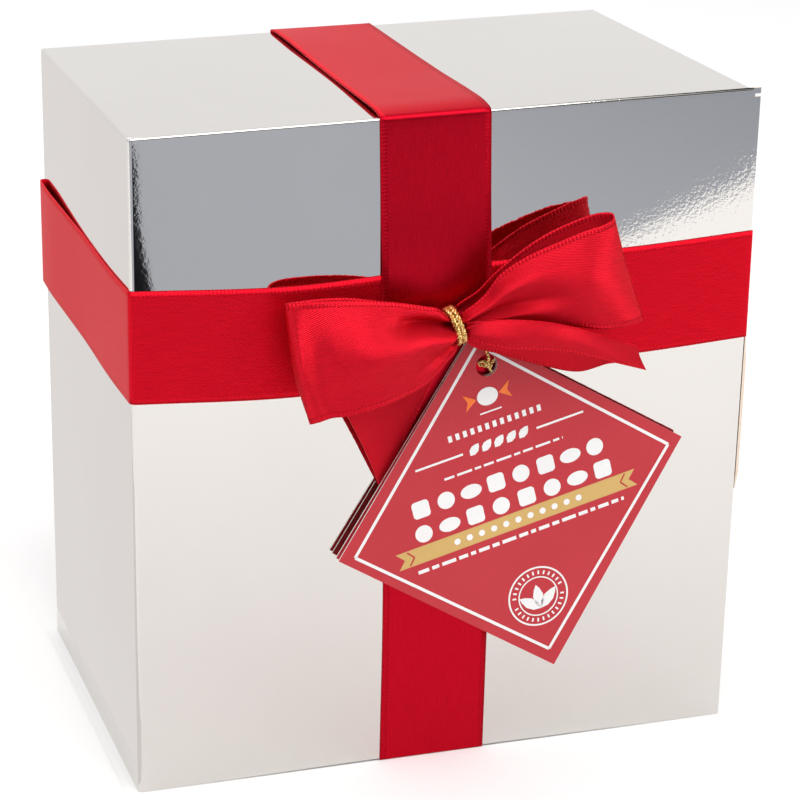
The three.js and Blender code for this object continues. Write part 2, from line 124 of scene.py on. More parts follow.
def add_camera():
    away = Vector((
        math.sin(CAMERA_AZIMUTH) * math.cos(CAMERA_ELEVATION),
        -math.cos(CAMERA_AZIMUTH) * math.cos(CAMERA_ELEVATION),
        math.sin(CAMERA_ELEVATION)))
    level = (-away).cross(Vector((0, 0, 1))).normalized()
    upright = level.cross(-away)
    right = math.cos(CAMERA_ROLL) * level + math.sin(CAMERA_ROLL) * upright
    up = math.cos(CAMERA_ROLL) * upright - math.sin(CAMERA_ROLL) * level
    camera = bpy.data.objects.new("camera", bpy.data.cameras.new("camera"))
    camera.data.lens = LENS
    camera.data.sensor_width = 36
    camera.matrix_world = Matrix.Translation(CAMERA_AT) @ Matrix((right, up, away)).transposed().to_4x4()
    bpy.context.collection.objects.link(camera)
    bpy.context.scene.camera = camera


# Node helpers


def set_inputs(made, inputs):
    """Sets a node's inputs, or links those given as sockets."""
    for key, value in inputs.items():
        if isinstance(value, bpy.types.NodeSocket):
            made.id_data.links.new(value, made.inputs[key])
        else:
            made.inputs[key].default_value = value


def node(tree, kind, inputs=None, **settings):
    """A node with its settings made and its inputs set or linked."""
    made = tree.nodes.new("ShaderNode" + kind)
    for key, value in settings.items():
        setattr(made, key, value)
    set_inputs(made, inputs or {})
    return made


def new_material(name):
    material = bpy.data.materials.new(name)
    material.use_nodes = True
    tree = material.node_tree
    tree.nodes.clear()
    shader = node(tree, "BsdfPrincipled")
    node(tree, "OutputMaterial", {"Surface": shader.outputs["BSDF"]})
    return material, tree, shader


def object_coords(tree):
    return node(tree, "TexCoord").outputs["Object"]


def maths(tree, operation, a, b=0.0, clamp=False):
    return node(tree, "Math", {0: a, 1: b}, operation=operation, use_clamp=clamp).outputs[0]


def plus(tree, a, b):
    return maths(tree, "ADD", a, b)


def minus(tree, a, b, clamp=False):
    return maths(tree, "SUBTRACT", a, b, clamp)


def times(tree, a, b):
    return maths(tree, "MULTIPLY", a, b)


def mix_colour(tree, factor, a, b):
    return node(tree, "Mix", {0: factor, 6: a, 7: b}, data_type="RGBA").outputs[2]


def noise(tree, place, scale, detail, roughness=0.5):
    inputs = {"Vector": place, "Scale": scale, "Detail": detail, "Roughness": roughness}
    return node(tree, "TexNoise", inputs).outputs["Fac"]


def ranged(tree, value, from_low, from_high, to_low=0.0, to_high=1.0, **settings):
    """The value carried from one range into another."""
    inputs = {
        "Value": value, "From Min": from_low, "From Max": from_high, "To Min": to_low, "To Max": to_high}
    return node(tree, "MapRange", inputs, **settings).outputs["Result"]


def bump(tree, height, distance, strength=1.0, over=None):
    """The normal of a relief, on its own or over another normal."""
    inputs = {"Height": height, "Distance": distance, "Strength": strength}
    if over is not None:
        inputs["Normal"] = over
    return node(tree, "Bump", inputs).outputs["Normal"]


# Materials


def mirror_board():
    """Metallised film on board: slow waves, and an orange peel that grows rougher to the right."""
    material, tree, shader = new_material("mirror_board")
    place = object_coords(tree)
    smudge = noise(tree, place, 22.0, 5.0, 0.6)
    waves = bump(tree, noise(tree, place, 60.0, 2.0), 0.000008)
    x = node(tree, "SeparateXYZ", {"Vector": place}).outputs["X"]
    peel = times(tree, noise(tree, place, 1150.0, 2.5, 0.6), ranged(tree, x, -0.07, 0.06, 0.3, 1.6))
    clean, smeared = (0.670, 0.640, 0.612, 1), (0.650, 0.620, 0.592, 1)
    set_inputs(shader, {
        "Base Color": mix_colour(tree, ranged(tree, smudge, 0.35, 0.7), clean, smeared),
        "Normal": bump(tree, peel, 0.000006, over=waves),
        "Roughness": ranged(tree, smudge, 0.3, 0.75, 0.015, 0.03),
        "Metallic": 1.0})
    return material


def board_edge():
    """The cut edge of the board: pale fibres between two skins."""
    material, tree, shader = new_material("board_edge")
    fibre = noise(tree, object_coords(tree), 2500.0, 4.0, 0.7)
    set_inputs(shader, {
        "Base Color": mix_colour(tree, fibre, (0.62, 0.46, 0.34, 1), (0.86, 0.76, 0.66, 1)),
        "Normal": bump(tree, fibre, 0.00005, 0.6),
        "Roughness": 0.85})
    return material


def satin_weave_group():
    """Satin weave from a ribbon's own UV map, in ribbon widths: gives its height, its tone with painted shade
    in the twill's hollows, and its selvedge mask.
    """
    group = bpy.data.node_groups.new("satin_weave", "ShaderNodeTree")
    for name in ("Threads", "Ribs", "Twill Relief", "Edge Relief"):
        group.interface.new_socket(name=name, in_out="INPUT", socket_type="NodeSocketFloat")
    for name in ("Height", "Tone And Shade", "Selvedge"):
        group.interface.new_socket(name=name, in_out="OUTPUT", socket_type="NodeSocketFloat")
    enter = group.nodes.new("NodeGroupInput").outputs
    relief = enter["Edge Relief"]
    uv = node(group, "UVMap", uv_map="ribbon").outputs["UV"]
    split = node(group, "SeparateXYZ", {"Vector": uv})
    across, along = split.outputs["X"], split.outputs["Y"]

    def wave(phase):
        """A sine between 0 and 1."""
        return plus(group, times(group, maths(group, "SINE", phase), 0.5), 0.5)

    slant = plus(group, times(group, along, TWILL_LEAN), across)
    jitter = times(group, noise(group, uv, 60.0, 2.0, 0.6), 2.4)
    twill = wave(plus(group, times(group, slant, enter["Threads"]), jitter))
    rib = wave(times(group, along, enter["Ribs"]))
    off_middle = maths(group, "ABSOLUTE", minus(group, across, 0.5))
    selvedge = maths(group, "GREATER_THAN", off_middle, 0.5 - SELVEDGE)
    seam = maths(group, "COMPARE", off_middle, 0.5 - SELVEDGE)
    seam.node.inputs[2].default_value = SEAM_HALF_W
    plain = times(group, times(group, twill, enter["Twill Relief"]), minus(group, 1.0, selvedge))
    ridge = times(group, times(group, rib, 1.6), relief)
    edge = times(group, plus(group, ridge, 0.6), selvedge)
    sunk = times(group, times(group, seam, minus(group, 1.0, rib)), relief)
    streak = node(group, "Mapping", {"Vector": uv, "Scale": (26.0, 1.2, 1.0)}).outputs["Vector"]
    # Tone: random streaks along the threads, plus the twill, which paints shade into the weave's hollows; it
    # is also darker along the sunk seam
    tone = plus(group, times(group, noise(group, streak, 4.0, 3.0), 0.55), times(group, twill, 0.45))
    set_inputs(group.nodes.new("NodeGroupOutput"), {
        "Height": minus(group, plus(group, plain, edge), times(group, sunk, 1.8)),
        "Tone And Shade": minus(group, tone, times(group, sunk, 0.8), clamp=True),
        "Selvedge": selvedge})
    return group


def satin_ribbon(name, weave, twill_relief, edge_relief, metal, spread, depth):
    """Red single-faced satin with ribbed selvedges; its floats shine in their own colour. Its red is scaled
    down by depth as painted shade, by a different amount for each copy.
    """
    material, tree, shader = new_material(name)
    cloth = node(tree, "Group", {
        "Threads": 2 * math.pi * RIBBON_W / THREAD_PITCH, "Ribs": 2 * math.pi * RIBBON_W / RIB_PITCH,
        "Twill Relief": twill_relief, "Edge Relief": edge_relief}, node_tree=weave).outputs
    # Painted shade: depth darkens this copy's whole red for the light its ribbon sits in
    shaded_hollow, lit_float_top = (0.50 * depth, 0.001, 0.010, 1), (0.84 * depth, 0.006, 0.022, 1)
    set_inputs(shader, {
        # The darker colour is painted shade in the weave's hollows and the lighter one the lit float tops;
        # the mix between them also carries random streaks of tone
        "Base Color": mix_colour(tree, cloth["Tone And Shade"], shaded_hollow, lit_float_top),
        "Normal": bump(tree, cloth["Height"], 0.00007, 0.8),
        "Roughness": ranged(tree, cloth["Selvedge"], 0.0, 1.0, 0.36, 0.42),
        "Metallic": metal, "Anisotropic": spread,
        "Tangent": node(tree, "Tangent", direction_type="UV_MAP", uv_map="ribbon").outputs["Tangent"],
        "Specular IOR Level": 0.5, "Specular Tint": (1.0, 0.56, 0.56, 1),
        "Subsurface Weight": 0.5, "Subsurface Radius": (0.002, 0.0001, 0.0002), "Subsurface Scale": 1.0})
    return material


def gold_thread():
    """Lurex cord: metallic gold thread; the noise that gives its bump also paints bright flecks as glints and
    dark flecks as shade in its hollows.
    """
    material, tree, shader = new_material("gold_thread")
    glint = noise(tree, object_coords(tree), 2200.0, 2.0, 0.6)
    # Painted glints and shade: the bright end of this mix is painted glint, the dark end painted shade
    painted_glint_and_shade = ranged(tree, glint, 0.40, 0.58)
    set_inputs(shader, {
        "Base Color": mix_colour(tree, painted_glint_and_shade, (0.34, 0.16, 0.025, 1), (0.95, 0.70, 0.28, 1)),
        "Normal": bump(tree, glint, 0.00025),
        "Metallic": 0.9, "Roughness": 0.24})
    return material


def printed_card(name, dark, light, roughness=0.5):
    """Ink on matt card: a flat colour field broken by the paper's grain."""
    material, tree, shader = new_material(name)
    place = object_coords(tree)
    grain = noise(tree, place, 1600.0, 4.0, 0.65)
    blend = plus(tree, times(tree, grain, 0.5), times(tree, noise(tree, place, 60.0, 3.0), 0.5))
    set_inputs(shader, {
        "Base Color": mix_colour(tree, blend, dark, light),
        "Normal": bump(tree, grain, 0.00003, 0.25),
        "Roughness": roughness, "Specular IOR Level": 0.25})
    return material


# Mesh helpers


def pick(*pieces):
    """In object mode, selects just these pieces, the first as the active one."""
    if bpy.context.mode != "OBJECT":
        bpy.ops.object.mode_set(mode="OBJECT")
    bpy.ops.object.select_all(action="DESELECT")
    for piece in pieces:
        piece.select_set(True)
    if pieces:
        bpy.context.view_layer.objects.active = pieces[0]


def settle(piece):
    """Puts the piece's place into its mesh, so that its object sits at the origin."""
    pick(piece)
    bpy.ops.object.transform_apply(location=True, rotation=True, scale=True)


def finish_piece(piece, slot_name, *replaced):
    settle(piece)
    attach(piece, "root")
    if replaced:
        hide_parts(*replaced)
    return piece


def made_piece(made, name, material):
    """A piece from a mesh that is ready."""
    mesh = bpy.data.meshes.new(name)
    made.to_mesh(mesh)
    made.free()
    mesh.materials.append(material)
    piece = bpy.data.objects.new(name, mesh)
    bpy.context.collection.objects.link(piece)
    return piece


def add_cube(name, low, high):
    """A cube shaped to the box between two corners, left in edit mode with its vertices in place."""
    pick()
    middle = (Vector(low) + Vector(high)) / 2 * MM
    bpy.ops.mesh.primitive_cube_add(size=1, location=middle)
    cube = bpy.context.active_object
    cube.name = name
    cube.data.name = name
    cube.scale = (Vector(high) - Vector(low)) * MM
    settle(cube)
    bpy.ops.object.mode_set(mode="EDIT")
    return cube


def select_where(mesh, test, kind="VERT"):
    """In edit mode, selects just the vertices, edges or faces whose place passes the test."""
    bpy.ops.mesh.select_mode(type=kind)
    bpy.ops.mesh.select_all(action="DESELECT")
    made = bmesh.from_edit_mesh(mesh)
    parts = {"VERT": made.verts, "EDGE": made.edges, "FACE": made.faces}[kind]
    for part in parts:
        part.select_set(bool(test(part)))
    made.select_flush_mode()
    bmesh.update_edit_mesh(mesh)


def set_x(mesh, x_for):
    """In edit mode, gives each vertex the x that x_for finds for it, in millimetres, or leaves it at None."""
    made = bmesh.from_edit_mesh(mesh)
    for vert in made.verts:
        x = x_for(vert)
        if x is not None:
            vert.co.x = x * MM
    bmesh.update_edit_mesh(mesh)


def bisect_at(place, normal):
    bpy.ops.mesh.select_all(action="SELECT")
    bpy.ops.mesh.bisect(plane_co=Vector(place) * MM, plane_no=normal, use_fill=False)


def extrude_right(distance):
    bpy.ops.mesh.extrude_region_move(TRANSFORM_OT_translate={"value": (distance * MM, 0, 0)})


def round_selected(radius, segments):
    bpy.ops.mesh.bevel(offset=radius * MM, segments=segments, affect="EDGES")


def face_outwards():
    """In edit mode, turns all the faces outwards, and leaves edit mode."""
    bpy.ops.mesh.select_all(action="SELECT")
    bpy.ops.mesh.normals_make_consistent(inside=False)
    bpy.ops.object.mode_set(mode="OBJECT")


def split_faces(mesh, first, second, test):
    """Two materials on one mesh: the second on the faces that pass the test."""
    mesh.materials.clear()
    mesh.materials.append(first)
    mesh.materials.append(second)
    for face in mesh.polygons:
        face.material_index = 1 if test(face) else 0


def apply_modifier(piece, kind, **settings):
    pick(piece)
    modifier = piece.modifiers.new(kind.lower(), kind)
    for key, value in settings.items():
        setattr(modifier, key, value)
    bpy.ops.object.modifier_apply(modifier=modifier.name)


# Carton

# The ribbon's seat under the bottom: its middle, and the room on either side of the ribbon
SEAT_X = -1.8
SEAT_ROOM = 1.5

# The overhang is pulled out twice: first at its full height, then without the notch
FIRST_PULL = 0.05
SECOND_PULL = 0.3

# How near a fold's line a place has to be to count as on it, roughly and closely
NEAR = 0.1
CLOSE = 0.05


def make_carton(board, edge):
    """The folded carton, with the overhang of its front panel pulled out at the right edge."""
    carton = add_cube("carton_shell", (-HALF_W, FRONT_Y, 0), (HALF_W, BACK_Y, CARTON_H))
    mesh = carton.data
    near = 0.02 * MM
    behind_front = FRONT_Y + BOARD_T
    notch_top = CARTON_H - NOTCH_DROP
    notch_low = notch_top - NOTCH_H
    seat_low = SEAT_X - RIBBON_W / 2 - SEAT_ROOM
    seat_high = SEAT_X + RIBBON_W / 2 + SEAT_ROOM
    for x in (seat_low, seat_high):
        bisect_at((x, 0, 0), (1, 0, 0))
    select_where(mesh, lambda face: face.calc_center_median().x > seat_high * MM, "FACE")
    bpy.ops.mesh.bisect(plane_co=(0, behind_front * MM, 0), plane_no=(0, 1, 0), use_fill=False)
    for height in (notch_top, notch_low):
        bisect_at((0, 0, height), (0, 0, 1))

    # The right side leans in towards the top, behind the front panel.
    def leaning_x(vert):
        if vert.co.x > HALF_W * MM - near and vert.co.z > 0.5 * CARTON_H * MM:
            return side_x(vert.co.z / MM)

    set_x(mesh, leaning_x)

    # The overhang: first the notch's depth of board, then the rest past it.
    def on_strip(face):
        middle = face.calc_center_median()
        return middle.x > (HALF_W - 2) * MM and face.normal.x > 0.9 and middle.y < behind_front * MM

    def beside_notch(face):
        height = face.calc_center_median().z / MM
        return on_strip(face) and not notch_low < height < notch_top

    def overhang_x(vert):
        x, y, z = vert.co / MM
        if y > behind_front + 0.01:
            return None
        if x > side_x(z) + 0.2:
            return lip_x(z)
        if x > side_x(z) + 0.02:
            return lip_x(z) - NOTCH_DEPTH * z / CARTON_H

    select_where(mesh, on_strip, "FACE")
    extrude_right(FIRST_PULL)
    select_where(mesh, beside_notch, "FACE")
    extrude_right(SECOND_PULL)
    set_x(mesh, overhang_x)

    # The ribbon's seat, pressed into the bottom.
    def in_seat(vert):
        return vert.co.z < near and seat_low * MM - near < vert.co.x < seat_high * MM + near

    select_where(mesh, in_seat)
    bpy.ops.transform.translate(value=(0, 0, SEAT_H * MM))
    face_outwards()
    for vert in mesh.vertices:
        vert.co.z = lean_z(vert.co.x / MM, vert.co.z / MM) * MM

    # The front corner and the other long folds are rounded as pressed board is.
    bpy.ops.object.mode_set(mode="EDIT")

    def is_front_corner(fold):
        a, b = (vert.co / MM for vert in fold.verts)
        return max(a.x, b.x) < -HALF_W + NEAR and max(a.y, b.y) < FRONT_Y + NEAR

    select_where(mesh, is_front_corner, "EDGE")
    round_selected(CORNER_R, 8)

    def is_fold(fold):
        a, b = (vert.co / MM for vert in fold.verts)
        middle = (a + b) / 2
        if fold.calc_face_angle(0) < math.radians(60):
            return False
        at_left = a.x < -HALF_W + NEAR and b.x < -HALF_W + NEAR and abs(a.z - b.z) > 0.5
        at_top = middle.z > CARTON_H - 2.2 and all(abs(p.z - lean_z(p.x, CARTON_H)) < CLOSE for p in (a, b))
        at_back = a.y > BACK_Y - NEAR and b.y > BACK_Y - NEAR
        return (at_left or at_top or at_back) and max(a.x, b.x) < side_x(middle.z) + CLOSE

    select_where(mesh, is_fold, "EDGE")
    round_selected(FOLD_R, 6)
    bpy.ops.object.mode_set(mode="OBJECT")

    def is_cut(face):
        middle = face.center / MM
        return middle.x > side_x(middle.z) + CLOSE and abs(face.normal.y) < 0.5

    split_faces(mesh, board, edge, is_cut)
    pick(carton)
    bpy.ops.object.shade_smooth_by_angle(angle=math.radians(35))
    apply_modifier(carton, "WEIGHTED_NORMAL", keep_sharp=True)
    return finish_piece(carton, "mirror_board", "carton")


TAB_MIDDLE_Z = 76
TUCK = 0.1


def make_closing_tab(board, edge):
    """The tab that holds the front panel shut, standing a little off the right edge."""
    lip = lip_x(TAB_MIDDLE_Z) + TAB_GAP
    tab = add_cube("closing_tab", (lip - TUCK, FRONT_Y + 0.15, TAB_Z0), (lip + BOARD_T, TAB_BACK_Y, TAB_Z1))
    # Height, and the share of its full reach that the tab has there
    rows = [(TAB_Z0, 0.35), (TAB_Z0 + TAB_CHAMFER, 1.0), (TAB_Z1 - TAB_CHAMFER * 1.5, 1.0), (TAB_Z1, 0.5)]
    for height, _ in rows[1:3]:
        bisect_at((0, 0, height), (0, 0, 1))

    def tab_x(vert):
        x, y, z = vert.co / MM
        reach = (TAB_GAP + BOARD_T) * min(rows, key=lambda row: abs(row[0] - z))[1]
        outer = x > lip + BOARD_T / 2
        if y > TAB_BACK_Y - 1:
            return side_x(z) + (0.3 if outer else -0.5)
        if outer:
            return lip_x(z) + reach
        return lip_x(z) - TUCK + min(TAB_GAP, reach - TUCK)

    set_x(tab.data, tab_x)
    face_outwards()
    split_faces(tab.data, board, edge, lambda face: face.normal.y < -0.5 or abs(face.normal.z) > 0.5)
    return finish_piece(tab, "mirror_board", "carton")


# Ribbon bands


def smooth_line(points, t):
    """A point at t, from 0 to 1, on the smooth line through the points; close points turn tighter."""
    spans = len(points) - 1
    at = min(int(t * spans), spans - 1)
    f = t * spans - at
    b, c = Vector(points[at]), Vector(points[at + 1])
    a = Vector(points[at - 1]) if at else 2 * b - c
    d = Vector(points[at + 2]) if at + 2 <= spans else 2 * c - b
    ab, bc, cd = [math.sqrt((q - p).length) or 1.0 for p, q in ((a, b), (b, c), (c, d))]
    leave = ((b - a) / ab - (c - a) / (ab + bc)) * bc + (c - b)
    arrive = (c - b) + ((d - c) / cd - (d - b) / (bc + cd)) * bc
    near = (2 * f - 3) * f * f + 1
    return near * b + (1 - near) * c + ((f - 2) * f + 1) * f * leave + (f - 1) * f * f * arrive


def running_lengths(points):
    """How far along the line each point lies."""
    far = [0.0]
    for a, b in zip(points, points[1:]):
        far.append(far[-1] + (b - a).length)
    return far


FINE = 400


def even_points(line, count, cut_start=0.0, cut_end=0.0):
    """Points at even spacing along the smooth line, less a length cut off each end."""
    fine = [smooth_line(line, i / FINE) for i in range(FINE + 1)]
    total = running_lengths(fine)
    found = []
    at = 0
    for i in range(count + 1):
        want = cut_start + (total[-1] - cut_start - cut_end) * i / count
        while at < FINE - 1 and total[at + 1] < want:
            at += 1
        span = total[at + 1] - total[at] or 1.0
        found.append(fine[at].lerp(fine[at + 1], (want - total[at]) / span))
    return found


STATION_STEP = 2.0
TURN_STEPS = 6


def wound_stations(sides, turns):
    """Points round a closed winding. Each side is a list of [a, b, more...]; each turn ends its side."""
    laid = []
    for k, side in enumerate(sides):
        count = max(4, round(math.dist(side[0][:2], side[-1][:2]) / STATION_STEP))
        laid.append(even_points(side, count, turns[k - 1], turns[k]))
    stations = []
    for k, points in enumerate(laid):
        stations += points
        start, corner, end = points[-1], Vector(sides[k][-1]), laid[(k + 1) % len(laid)][0]
        for i in range(1, TURN_STEPS):
            t = i / TURN_STEPS
            stations.append((1 - t) ** 2 * start + 2 * t * (1 - t) * corner + t * t * end)
    return stations


def strip_mesh(name, rows, material, closed, thickness):
    """A ribbon laid through rows of points, with its UV map in ribbon widths and its real thickness."""
    made = bmesh.new()
    uv = made.loops.layers.uv.new("ribbon")
    lengths = [0.0]
    middle = len(rows[0]) // 2
    for before, here in zip(rows, rows[1:] + ([rows[0]] if closed else [])):
        lengths.append(lengths[-1] + (here[middle] - before[middle]).length / RIBBON_W)
    verts = [[made.verts.new(p * MM) for p in row] for row in rows]
    across = len(rows[0]) - 1
    shares = []
    for row in rows:
        far = running_lengths(row)
        shares.append([s / far[-1] for s in far])
    for i in range(len(rows) - (0 if closed else 1)):
        j = (i + 1) % len(rows)
        for k in range(across):
            face = made.faces.new((verts[i][k], verts[i][k + 1], verts[j][k + 1], verts[j][k]))
            corners = ((k, i, i), (k + 1, i, i), (k + 1, j, i + 1), (k, j, i + 1))
            for loop, (place, row, v) in zip(face.loops, corners):
                loop[uv].uv = (shares[row][place], lengths[v])
            face.smooth = True
    piece = made_piece(made, name, material)
    apply_modifier(piece, "SOLIDIFY", thickness=thickness * MM, offset=0.0)
    return piece, lengths[-1] * RIBBON_W


ACROSS = 16


def laid_ribbon(name, rows, satin, node_name):
    """A ribbon band pulled tight round the carton; gives its length."""
    ribbon, length = strip_mesh(name, rows, satin, True, RIBBON_T)
    finish_piece(ribbon, "satin_ribbon", node_name)
    return length


def make_lengthwise_ribbon(satin):
    """Up the front, over the top, down the back and under the bottom."""
    gap = RIBBON_GAP + RIBBON_T / 2
    f = FRONT_Y - gap
    b = BACK_Y + gap
    t = CARTON_H + gap
    over = RIBBON_T + 0.1
    low = RIBBON_T / 2
    # y, z, the middle's x, and the lift of the left and right edges
    front = [[f, low, -1.8, 0, 0], [f, 40, -1.6, 0, 0], [f, 80, -2.4, 0, 0], [f - over, 90, -2.7, 0, 0],
             [f - over, 106, -3.0, 0, 0], [f - over, 119.5, -3.2, 0, 0], [f, 132, -3.5, 0, 0],
             [f, t, -4.0, 0, 0]]
    top = [[f, t, -4.0, 0, 0], [-41.5, t + 0.6, -3.9, 0.0, 0.1], [-32, t + 0.6, -3.6, 0.0, 0.1],
           [-10, t + 0.2, -3.0, 0.1, 0.0], [10, t + 0.1, -2.6, 0.3, 0.0], [30, t + 0.1, -2.2, 0.5, 0.0],
           [40, t + 0.1, -2.0, 0.4, 0.0], [b + 0.3, t + 0.1, -2.0, 0.2, 0.1]]
    back = [[b + 0.3, t + 0.1, -2.0, 0.2, 0.1], [b + 0.6, 140, -2.0, 0, 0], [b + over, 122.5, -2.0, 0, 0],
            [b + over, 90, -1.9, 0, 0], [b, 84, -1.9, 0, 0], [b, 40, -1.8, 0, 0], [b, low, -1.8, 0, 0]]
    under = [[b, low, -1.8, 0, 0], [f, low, -1.8, 0, 0]]
    turns = [1.2, 1.2, 0.5, 0.5]
    rows = []
    for y, z, middle, lift_left, lift_right in wound_stations([front, top, back, under], turns):
        row = []
        for k in range(ACROSS + 1):
            w = k / ACROSS
            x = middle + (w - 0.5) * RIBBON_W
            lift = lift_left * (1 - w) ** 1.5 + lift_right * w
            height = lean_z(x, z) if z > 1 else z
            row.append(Vector((x, y, height + lift)))
        rows.append(row)
    return laid_ribbon("lengthwise_ribbon", rows, satin, "ribbon_vertical")


def make_crosswise_ribbon(satin):
    """Along the front, the right side, the back and the left side."""
    gap = RIBBON_GAP + RIBBON_T / 2
    l = -HALF_W - gap
    f = FRONT_Y - gap
    b = BACK_Y + gap
    r = lip_x(106 + RIBBON_W / 2) + gap
    # x, y, and the height of the middle
    front = [[l, f, 104.8], [-35, f, 103.2], [0, f, 105.0], [45, f, 106.2], [r, f, 107.8]]
    right = [[r, f, 107.8], [r - 0.3, 0, 107.6], [r - 0.9, b, 107.3]]
    back = [[r - 0.9, b, 107.3], [20, b, 106.6], [-40, b, 106.2], [-HALF_W + 4, b + 0.4, 105.8],
            [-HALF_W - 1.0, b - 0.1, 105.7]]
    left = [[-HALF_W - 1.0, b - 0.1, 105.7], [-HALF_W - 1.1, 36, 105.4], [-HALF_W - 0.7, 20, 105.0],
            [l, 0, 104.6], [l, -25, 104.2], [l, f, 104.8]]
    turns = [0.45, 0.5, 1.2, 1.55]
    rows = []
    for x, y, middle in wound_stations([front, right, back, left], turns):
        rows.append([Vector((x, y, middle + (k / ACROSS - 0.5) * RIBBON_W)) for k in range(ACROSS + 1)])
    return laid_ribbon("crosswise_ribbon", rows, satin, "ribbon_horizontal")


# Bow

KNOT_V = (-0.32, 0.947)
KNOT_U = (0.947, 0.32)


def knot_point(u, v, depth):
    """A place at the knot: u along the ribbon, v up the knot, depth in front of its middle."""
    return [KNOT[0] + KNOT_U[0] * u + KNOT_V[0] * v, KNOT[1] + depth, KNOT[2] + KNOT_U[1] * u + KNOT_V[1] * v]


def guide(leaving, free, arriving=()):
    """A guide line: places at the knot as it leaves, then x, depth and z, then places at the knot again."""
    return [knot_point(*p) for p in leaving] + free + [knot_point(*p) for p in arriving]


BOW_ACROSS = 48
SWELL_GROWS = 0.12


def bow_rows(lines, along, pleats, swells):
    """Rows across a bow's ribbon, from its guide lines, gathered into pleats towards the knot."""
    guides = [even_points(line, along) for line in lines]
    rows = [[smooth_line([g[i] for g in guides], k / BOW_ACROSS) for k in range(BOW_ACROSS + 1)]
            for i in range(along + 1)]
    rows = pleated(rows, **pleats)
    for i in range(along // 2, along + 1):
        grown = min(1.0, (i - along // 2) / (SWELL_GROWS * along))
        for k, p in enumerate(rows[i]):
            w = k / BOW_ACROSS
            p[1] += grown * sum(out * math.exp(-((p[0] - x) / reach) ** 2 - ((w - at) / spread) ** 2)
                        for x, at, reach, spread, out in swells)
    return [[from_front(*p) for p in row] for row in rows]


def pleated(rows, folds=2.5, start=0.0, fade=12.0, most=1.5, both_ends=True):
    """Puts back the width that the gathering takes away, as folds in depth that fade from the knot."""
    far = running_lengths([row[len(row) // 2] for row in rows])
    result = []
    for i, row in enumerate(rows):
        reach = min(far[i], far[-1] - far[i]) if both_ends else far[i]
        front = -1.0 if both_ends and far[i] < far[-1] / 2 else 1.0
        width = sum((q - p).length for p, q in zip(row, row[1:]))
        slack = max(0.0, (RIBBON_W / width) ** 2 - 1)
        size = min(most, width / (2 * math.pi * folds) * math.sqrt(2 * slack)) * math.exp(-reach / fade)
        size *= min(1.0, 0.35 + reach / 4)
        moved = []
        for k, p in enumerate(row):
            w = k / (len(row) - 1)
            wave = math.sin(2 * math.pi * (folds * w + start)) * min(1.0, 6 * w, 6 * (1 - w))
            moved.append(Vector((p[0], p[1] + front * size * wave, p[2])))
        result.append(moved)
    return result


# Soft rolls and hollows of a loop's front: x, place across from 0 at the top, reach, spread, and depth
LEFT_SWELLS = [
    (-9.5, 0.30, 7.0, 0.13, -2.0), (-9.0, 0.68, 9.0, 0.20, 0.9), (-23.0, 0.40, 8.0, 0.26, 1.0),
    (-27.0, 0.86, 8.0, 0.16, -0.4)]
RIGHT_SWELLS = [(13.0, 0.62, 9.0, 0.16, -1.6), (10.0, 0.24, 10.0, 0.15, 0.8), (30.0, 0.35, 6.0, 0.3, 0.6)]


def left_loop_lines():
    top = guide(
        [(0, 2.5, -1.1), (-1.0, 2.6, -1.1), (-1.8, 4.2, -0.6)],
        [[-12, 3.6, 110.8], [-25, 3.0, 113.2], [-36.5, 4.2, 113.6], [-39.1, 6.5, 114.0],
         [-36.4, 8.5, 114.6], [-27.8, 9.3, 114.7], [-18.8, 9.6, 113.9], [-14.3, 9.4, 113.1],
         [-9.2, 9.2, 111.9], [-5.8, 8.9, 111.0]],
        [(-1.8, 4.3, 2.0), (-1.0, 2.6, 1.1), (0, 2.5, 1.1)])
    middle = guide(
        [(0, 0, -1.6), (-1.0, 0, -1.8), (-1.9, 0, -2.8)],
        [[-12, 4.6, 104.0], [-25, 5.4, 102.0], [-35.5, 7.4, 101.0], [-38.3, 10.0, 100.8],
         [-37.2, 12.9, 101.3], [-34.4, 12.4, 101.9], [-29.3, 14.0, 102.8], [-19.6, 15.0, 104.4],
         [-9.6, 11.8, 105.7]],
        [(-3.4, 0.3, 4.6), (-1.9, 0.1, 3.6), (-1.0, 0, 2.0), (0, 0, 1.9)])
    bottom = guide(
        [(0, -2.4, -1.1), (-1.0, -2.5, -1.1), (-1.8, -4.2, -0.8)],
        [[-12, 6.6, 97.0], [-24, 8.4, 90.6], [-32.8, 9.8, 88.2], [-34.9, 11.7, 88.4], [-33.2, 13.2, 89.3],
         [-30.4, 12.9, 89.8], [-26.8, 14.4, 90.4], [-18.9, 14.4, 92.1], [-9.5, 12.0, 94.9],
         [-7.0, 11.2, 96.4], [-3.9, 9.8, 98.9]],
        [(-1.8, -4.4, 2.2), (-1.0, -2.5, 1.1), (0, -2.4, 1.1)])
    return [top, middle, bottom]


